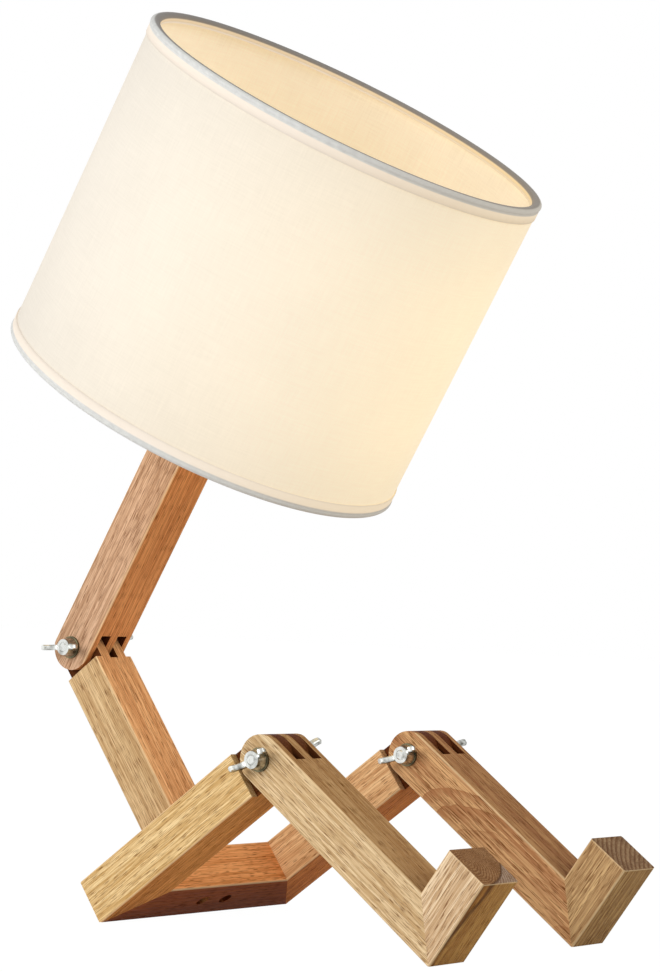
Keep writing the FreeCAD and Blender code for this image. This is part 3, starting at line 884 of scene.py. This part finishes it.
@dataclass
class Stand:
    """Seat, legs and arm of oak bars, each cut from its own stick. Lengths in millimetres."""

    bar_depth: float = BAR_DEPTH
    shin_length: float = SHIN_LENGTH
    foot_length: float = FOOT_LENGTH
    torso_length: float = TORSO_LENGTH

    def spaces(self) -> dict[str, Space]:
        """Find the own space of every bar.

        Returns:
            Node against space, with Z along the bar's grain.
        """
        half = self.bar_depth / 2 * MM
        slope = shin_slope()
        waist = joint_point("waist")
        spaces = {"torso": leaned(waist, 180 - THIGH_SLOPE), "upper_arm": leaned(waist, ARM_LEAN)}
        for side in ("left", "right"):
            knee = joint_point(side + "_knee")
            spaces[side + "_thigh"] = leaned(knee, 270 - THIGH_SLOPE)
            shin = leaned(knee, 90 + slope)
            spaces[side + "_shin"] = shin
            heel = shin.matrix @ Vector((0, -half, self.shin_length * MM - half))
            spaces[side + "_foot"] = leaned(heel, slope)
        seat = spaces["torso"].matrix @ Vector((0, 0, self.torso_length * MM + half))
        across = Matrix.Rotation(math.pi / 2, 4, "Y")
        spaces["pelvis"] = Space(leaned(seat, 90 - THIGH_SLOPE).matrix @ across)
        return spaces

    def dress(self) -> None:
        """Give every bar the oak of its own stick."""
        stain = StainLine((-16.2, 25.0), 38.5, self.foot_length, 0.24)
        extras = {
            "left_thigh": {"painted_shade_tips": True},
            "right_thigh": {"painted_shade_tips": True},
            "left_foot": {"ring_share": 0.1, "ring_width": 1.5, "end_height": self.foot_length,
                          "stain": stain},
            "right_shin": {"ring_share": 0.9},
            "right_foot": {"end_height": self.foot_length},
        }
        spaces = self.spaces()
        for node, look in OAK_LOOKS.items():
            name = "sanded and oiled oak, " + node.replace("_", " ")
            oak = SandedOak(name, spaces[node], *look, **extras.get(node, {}))
            dress(frame["nodes"][node], oak.build())
            log.info("dressed %s in %s", node, name)


@dataclass
class Hardware:
    """Wing bolts, wing nuts, washers and screws."""

    joints: tuple[str, ...] = ("left_knee", "right_knee", "waist")

    def dress(self) -> None:
        """Give the fasteners their plating."""
        zinc = PlatedMetal("bright zinc-plated steel", "#E2E4E0", "#55544B", 0.18).build()
        # The washers' olive yellow-zinc colour is darkened to paint the shade they sit in.
        dull = PlatedMetal("yellow zinc-plated washer", "#7C765C", "#4E4A38", 0.4).build()
        dark = PlatedMetal("black phosphated steel", "#4A4540", "#332F2B", 0.42).build()
        for joint in self.joints:
            for piece, plating in (("wing_bolt", zinc), ("wing_nut", zinc), ("washers", dull)):
                dress(frame["nodes"][f"{joint}_{piece}"], plating)
        dress(frame["nodes"]["torso_screws"], dark)
        log.info("dressed the hardware of %d joints", len(self.joints))


@dataclass
class Lampholder:
    """Holder, its inner parts and the wire that carries the shade."""

    def dress(self) -> None:
        """Give each part of the holder its material."""
        plastic = SmoothCoat("moulded white phenolic", "#ECEAE4", 0.28, 2.0, 0.03).build()
        porcelain = SmoothCoat("glazed porcelain", "#EFEBE2", 0.18, 3.0, 0.04).build()
        enamel = SmoothCoat("white powder-coated wire", "#F0EFEB", 0.42, 0.5, 0.05).build()
        brass = PlatedMetal("stamped brass", "#D9B25F", "#C9A050", 0.26).build()
        nickel = PlatedMetal("nickel-plated steel tube", "#C9C6BE", "#ADA99F", 0.25).build()
        aluminium = PlatedMetal("rolled aluminium cap", "#D6D6D4", "#BFBFBC", 0.3).build()
        parts = {"lampholder_cap": plastic, "lampholder_shell": plastic, "shade_ring": plastic,
                 "lampholder_insert": porcelain, "centre_contact": brass, "screw_shell": brass,
                 "mounting_nipple": nickel, "nipple_locknut": nickel, "bulb_cap": aluminium,
                 "shade_fitter": enamel, "shade_top_hoop": enamel, "shade_bottom_hoop": enamel}
        for node, material in parts.items():
            dress(frame["nodes"][node], material)
        log.info("dressed %d parts of the lampholder", len(parts))


@dataclass
class Bulb:
    """Glass of the bulb, as heights above the waist axis and radii, in millimetres."""

    space: Space
    seat: float = 173.7
    neck_radius: float = 12.6
    globe_radius: float = 30.0
    glass_height: float = 79.0
    neck_length: float = 12.0
    wall: float = 0.9

    def outline(self, inset: float) -> Pairs:
        """Draw the glass from its neck to its crown.

        Args:
            inset: How far the outline is moved inwards, in millimetres.

        Returns:
            Radius and height pairs.
        """
        neck, globe = self.neck_radius - inset, self.globe_radius - inset
        middle = self.seat + self.glass_height - self.globe_radius
        neck_end = self.seat + self.neck_length
        drop = middle - neck_end
        tangent = math.degrees(math.atan2(drop, neck) - math.acos(globe / math.hypot(neck, drop)))
        crown = arc((0, middle), (globe, globe), -tangent, 89.0, 24)
        return [(neck, self.seat), (neck, neck_end)] + crown

    def build(self) -> None:
        """Make the glass, in place of its plain solid."""
        outline = self.outline(0) + self.outline(self.wall)[::-1]
        glass = make_piece("bulb_envelope", *lathe(self.space, outline, 72), "head", "bulb_glass")
        dress(glass, OpalGlass().build())
        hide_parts("bulb_glass")


class Rim(Enum):
    """Which rim of the shade, with the way from it into the shade."""

    TOP = -1
    BOTTOM = 1


@dataclass
class Shade:
    """Drum of backed cloth with a folded tape on each rim, in mm above the waist axis."""

    space: Space
    bottom: float = 144.5
    height: float = 176.0
    radius: float = 108.2
    cloth: float = 0.8
    slack: float = 0.35
    bow: float = 0.28
    rim_gap: float = 0.7
    tape_depth: float = 8.0
    tape_inner_depth: float = 4.6
    tape_radius: float = 108.8
    tape_inner_radius: float = 103.6
    tape_wall: float = 0.3
    tape_step: float = 0.3
    bead: float = 1.8
    seam_width: float = 11.0
    seam_angle: float = 90.0
    seam_rise: float = 0.3

    def build(self) -> None:
        """Make the cloth and both tapes."""
        self.make_cloth()
        for rim in Rim:
            self.make_tape(rim)

    def wall_radius(self, angle: float, share: float) -> float:
        """Find the outer radius of the cloth, which bows a little between its rims.

        Args:
            angle: Place round the drum, in radians.
            share: Place up the drum, from 0 to 1.

        Returns:
            The radius in millimetres.
        """
        calm = math.sin(math.pi * share)
        wave = 0.5 * math.sin(5 * angle + 0.8) + 0.3 * math.sin(9 * angle + 2.1 + 2 * share)
        off = (angle - math.radians(self.seam_angle) + math.pi) % (2 * math.pi) - math.pi
        seam = self.seam_rise if abs(off) * self.radius < self.seam_width / 2 else 0.0
        return self.radius - self.slack + self.bow * calm * wave + seam * min(1.0, 6 * calm)

    def make_cloth(self) -> None:
        """Make the cloth drum with its glued seam at the back, stretched on its two hoops."""
        around, up = 240, 36
        low = self.bottom + self.rim_gap
        tall = self.height - 2 * self.rim_gap
        points, faces, inner = [], [], []
        for side in (0.0, self.cloth):
            for level in range(up + 1):
                share = level / up
                for step in range(around):
                    angle = 2 * math.pi * step / around
                    radius = self.wall_radius(angle, share) - side
                    spot = Vector((radius * math.cos(angle), radius * math.sin(angle),
                                   low + share * tall))
                    points.append(self.space.matrix @ (spot * MM))
        shell = (up + 1) * around
        for level in range(up):
            for step in range(around):
                a, b = level * around + step, level * around + (step + 1) % around
                faces.append((a, b, b + around, a + around))
                faces.append((shell + a, shell + a + around, shell + b + around, shell + b))
                inner += [0, 1]
        for step in range(around):
            after = (step + 1) % around
            top, top_after = up * around + step, up * around + after
            faces.append((step, shell + step, shell + after, after))
            faces.append((top, top_after, shell + top_after, shell + top))
            inner += [0, 0]
        cloth = make_piece("shade_cloth", points, faces, "head", "linen")
        middle = self.bottom + self.height / 2
        # Both faces of the cloth get a painted glow; the lining's is nearly even all round.
        outside = ShadeCloth("woven linen on a backing", self.space, "#B1ADA4", "#B8B4AB",
                             "#FFE3AE", 0.68, self.radius, middle, "#FFF2E1", 0.62)
        inside = ShadeCloth("laminated white lining", self.space, "#CCC7BC", "#D8D3C8",
                            "#FFDDA2", 0.4, self.radius, middle, "#FFDFAA", 1.06)
        dress(cloth, outside.build(), inside.build())
        cloth.data.polygons.foreach_set("material_index", inner)
        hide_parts("shade_fabric")

    def make_tape(self, rim: Rim) -> None:
        """Make the tape that is folded over one rim, in place of its plain solid.

        Args:
            rim: Which rim.
        """
        way, wall, bead = rim.value, self.tape_wall, self.bead
        edge = self.bottom if rim is Rim.BOTTOM else self.bottom + self.height
        half = (self.tape_radius - self.tape_inner_radius) / 2
        middle = self.tape_inner_radius + half
        over = arc((middle, 0), (half, bead), 180, -30, 20)
        under = arc((middle, 0), (half - wall, bead - wall), 0, 180, 16)
        outer, inner = self.tape_radius - self.tape_step, self.tape_inner_radius
        # Radius and depth into the shade: over the bead, down the outside, back under, inside hem.
        rows = [(r, bead - h) for r, h in over]
        rows += [(outer, bead + 1.3), (outer, self.tape_depth), (outer - wall, self.tape_depth),
                 (outer - wall, bead + 0.6)]
        rows += [(r, bead - h) for r, h in under]
        rows += [(inner + wall, self.tape_inner_depth), (inner, self.tape_inner_depth)]
        outline = [(r, edge + way * depth) for r, depth in rows]
        if rim is Rim.TOP:
            outline = outline[::-1]
        side = rim.name.lower()
        tape = make_piece(f"shade_{side}_tape", *lathe(self.space, outline, 180), "head",
                          "shade_tape")
        dress(tape, FoldedTape(f"woven cotton tape, {side}", self.space, self.radius,
                               self.tape_inner_radius, edge, way).build())
        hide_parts(f"shade_{side}_trim")


@dataclass
class Studio:
    """White floor, soft lights and the camera that stands where the photograph was taken."""

    floor_size: float = 14.0
    floor_drop: float = 0.0003
    sky_level: float = 0.4
    key_watts: float = 19.0
    fill_watts: float = 14.0
    lens: float = 104.4987
    sensor: float = 36.0
    camera_place: tuple[float, ...] = (-1.1210891, -0.8724465, 0.1633980)
    camera_right: tuple[float, ...] = (0.6062533, -0.7942897, 0.0395077)
    camera_up: tuple[float, ...] = (-0.0558901, 0.0070018, 0.9984124)

    def build(self) -> None:
        """Make the floor, the world, the lights and the camera."""
        self.make_floor()
        self.make_world()
        self.make_light("key", (-1.6, 0.3, 0.8), 1.1, self.key_watts)
        self.make_light("fill", (0.6, -1.7, 1.0), 1.4, self.fill_watts)
        self.make_camera()
        bpy.context.scene.view_settings.view_transform = "Standard"

    def seen(self, tree: Tree) -> Node:
        """Tell rays from the camera, a mirror or glass from all others.

        Args:
            tree: Node tree that gets the nodes.

        Returns:
            1 for those rays, and otherwise 0.
        """
        rays = add_node(tree, "LightPath").outputs
        clear = add_node(tree, "Math", rays["Is Glossy Ray"], rays["Is Transmission Ray"],
                         operation="MAXIMUM")
        return add_node(tree, "Math", rays["Is Camera Ray"], clear, operation="MAXIMUM")

    def make_floor(self) -> None:
        """Make a pale floor that the camera sees as white, with a faint shadow."""
        half, low = self.floor_size / 2, -self.floor_drop
        mesh = bpy.data.meshes.new("floor")
        mesh.from_pydata([(-half, -half, low), (half, -half, low), (half, half, low),
                          (-half, half, low)], [], [(0, 1, 2, 3)])
        floor = bpy.data.objects.new("floor", mesh)
        bpy.context.scene.collection.objects.link(floor)
        material, tree = new_material("matt white floor")
        share = add_node(tree, "Math", self.seen(tree), 0.95, operation="MULTIPLY")
        matt = add_node(tree, "BsdfDiffuse", "#EDEDED")
        white = add_node(tree, "Emission", "#FFFFFF", 1.04)
        both = add_node(tree, "MixShader", share, matt, white)
        add_node(tree, "OutputMaterial", both)
        floor.data.materials.append(material)

    def make_world(self) -> None:
        """Make an even sky that the camera and mirrors see as white."""
        world = bpy.data.worlds.new("studio")
        world.use_nodes = True
        tree = world.node_tree
        tree.nodes.clear()
        soft = add_node(tree, "Background", "#FFFFFF", self.sky_level)
        white = add_node(tree, "Background", "#FFFFFF", 1.0)
        both = add_node(tree, "MixShader", self.seen(tree), soft, white)
        add_node(tree, "OutputWorld", both)
        bpy.context.scene.world = world

    def make_light(self, name: str, place: tuple[float, ...], size: float, watts: float) -> None:
        """Make a square, soft white light that faces the lamp.

        Args:
            name: Name of the light.
            place: Its middle, in metres.
            size: Its side, in metres.
            watts: Its power.
        """
        data = bpy.data.lights.new(name, "AREA")
        data.size = size
        data.energy = watts
        light = bpy.data.objects.new(name, data)
        light.location = place
        light.rotation_mode = "QUATERNION"
        toward = Vector((0, 0, 0.2)) - light.location
        light.rotation_quaternion = toward.to_track_quat("-Z", "Y")
        bpy.context.scene.collection.objects.link(light)

    def make_camera(self) -> None:
        """Make the camera, whose place, turn and lens were fitted to the photograph."""
        data = bpy.data.cameras.new("camera")
        data.lens = self.lens
        data.sensor_width = self.sensor
        camera = bpy.data.objects.new("camera", data)
        right, up = Vector(self.camera_right), Vector(self.camera_up)
        turn = Matrix((right, up, right.cross(up))).transposed()
        camera.matrix_world = Matrix.Translation(self.camera_place) @ turn.to_4x4()
        bpy.context.scene.collection.objects.link(camera)
        bpy.context.scene.camera = camera


def main() -> None:
    """Dress the lamp and light it."""
    Stand().dress()
    Hardware().dress()
    Lampholder().dress()
    head = leaned(joint_point("waist"), ARM_LEAN)
    Bulb(head).build()
    Shade(head).build()
    Studio().build()


if __name__ == "__main__":
    main()
